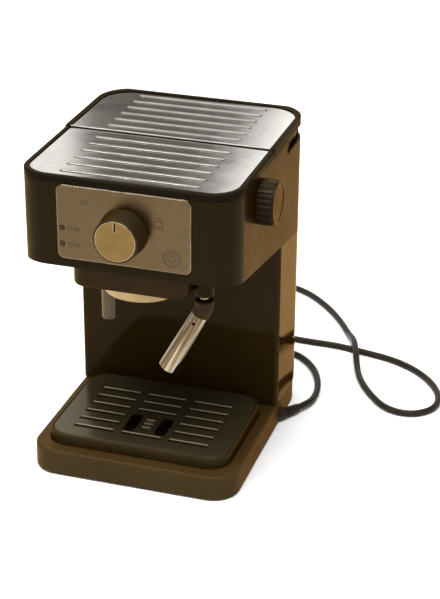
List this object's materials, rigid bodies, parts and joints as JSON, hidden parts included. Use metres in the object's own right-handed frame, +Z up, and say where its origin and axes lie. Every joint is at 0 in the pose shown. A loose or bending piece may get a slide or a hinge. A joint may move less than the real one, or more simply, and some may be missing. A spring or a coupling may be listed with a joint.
{
  "type": "espresso machine",
  "caption": "Compact pump espresso machine with a boxy housing, steel cup plate, control knob, steam tap and wand, lift-out drip tray and a rear water tank under a hinged lid.",
  "frame": {"origin": "middle of the machine's outline, its two knobs included and its cord left out, on the plane the feet stand on", "axes": "+X to the right as seen by the user, -Y out of the front, +Z up"},
  "size_m": [0.352, 0.4964, 0.308],
  "materials": {
    "black_plastic": "fine-grained black moulding",
    "gloss_black": "glossy black moulding",
    "brushed_steel": "brushed sheet",
    "collar_steel": "turned, warm",
    "polished_steel": "polished tube",
    "dark_rubber": "matt",
    "zinc_steel": "zinc plated",
    "boiler_alloy": "cast",
    "brass_parts": "machined",
    "copper_pipe": "drawn pipe",
    "grey_plastic": "moulded",
    "pump_body": "moulded round a coil",
    "hose_silicone": "translucent hose",
    "smoke_tank": "smoke-tinted moulding",
    "lamp_lens": "unlit red lens",
    "circuit_board": "lacquered",
    "pointer_black": "printed line",
    "print_dark": "printed signs"
  },
  "bodies": {
    "housing": {"base_plate": "black_plastic", "base_screws": "zinc_steel", "base_shell": "black_plastic", "boiler_gasket": "dark_rubber", "boiler_lower": "boiler_alloy", "boiler_screws": "zinc_steel", "boiler_upper": "boiler_alloy", "column_shell": "gloss_black", "control_switch": "grey_plastic", "cord_gland": "dark_rubber", "cup_deck": "black_plastic", "feet": "dark_rubber", "front_panel": "brushed_steel", "front_plate": "brushed_steel", "group_collar": "collar_steel", "group_gasket": "dark_rubber", "group_shroud": "black_plastic", "head_floor": "black_plastic", "head_shell": "black_plastic", "heat_cutouts": "grey_plastic", "heating_element": "zinc_steel", "lamp_board": "circuit_board", "lamp_lenses": "lamp_lens", "panel_marks": "print_dark", "plug_body": "dark_rubber", "plug_pins": "zinc_steel", "power_cord": "dark_rubber", "pressure_hose": "hose_silicone", "pump": "pump_body", "pump_mounts": "dark_rubber", "relief_hose": "hose_silicone", "relief_spout": "grey_plastic", "shower_screen": "collar_steel", "shower_screw": "collar_steel", "steam_pipe": "copper_pipe", "steam_valve_body": "brass_parts", "suction_hose": "hose_silicone", "tank_bay": "black_plastic", "tank_socket": "grey_plastic", "terminal_block": "grey_plastic", "wand_feed_pipe": "copper_pipe", "wand_socket": "black_plastic"},
    "control": {"control_knob": "black_plastic", "control_knob_cap": "brushed_steel", "control_pointer": "pointer_black", "control_shaft": "zinc_steel"},
    "steam_tap": {"steam_knob": "black_plastic", "steam_knob_cap": "brushed_steel", "steam_spindle": "zinc_steel"},
    "wand": {"steam_wand": "polished_steel", "wand_grip": "dark_rubber"},
    "frother": {"frother_sleeve": "polished_steel"},
    "tray": {"drip_tray": "black_plastic"},
    "grille": {"cup_grille": "black_plastic"},
    "tank": {"water_tank": "smoke_tank", "tank_valve": "grey_plastic", "tank_filter": "grey_plastic", "lid_pins": "zinc_steel"},
    "lid": {"tank_lid": "black_plastic", "lid_plate": "brushed_steel"}
  },
  "joints": [
    {"name": "control_turn", "type": "hinge", "parent": "housing", "child": "control", "pos_m": [-0.0082, -0.11085, 0.262], "axis": [0, -1, 0], "range_deg": [-90, 90]},
    {"name": "steam_turn", "type": "hinge", "parent": "housing", "child": "steam_tap", "pos_m": [0.0947, -0.03075, 0.274], "axis": [1, 0, 0], "range_deg": [0, 270]},
    {"name": "wand_swivel", "type": "hinge", "parent": "housing", "child": "wand", "pos_m": [0.0558, -0.07675, 0.201], "axis": [0, 0, 1], "range_deg": [0, 150]},
    {"name": "frother_pull", "type": "slide", "parent": "wand", "child": "frother", "axis": [-0.4617, 0, -0.887], "range_m": [0, 0.055]},
    {"name": "tray_lift", "type": "slide", "parent": "housing", "child": "tray", "axis": [0, 0, 1], "range_m": [0, 0.05]},
    {"name": "grille_lift", "type": "slide", "parent": "tray", "child": "grille", "axis": [0, 0, 1], "range_m": [0, 0.03]},
    {"name": "tank_lift", "type": "slide", "parent": "housing", "child": "tank", "axis": [0, 0, 1], "range_m": [0, 0.2]},
    {"name": "lid_open", "type": "hinge", "parent": "tank", "child": "lid", "pos_m": [-0.0082, 0.128, 0.30425], "axis": [-1, 0, 0], "range_deg": [0, 100]}
  ]
}
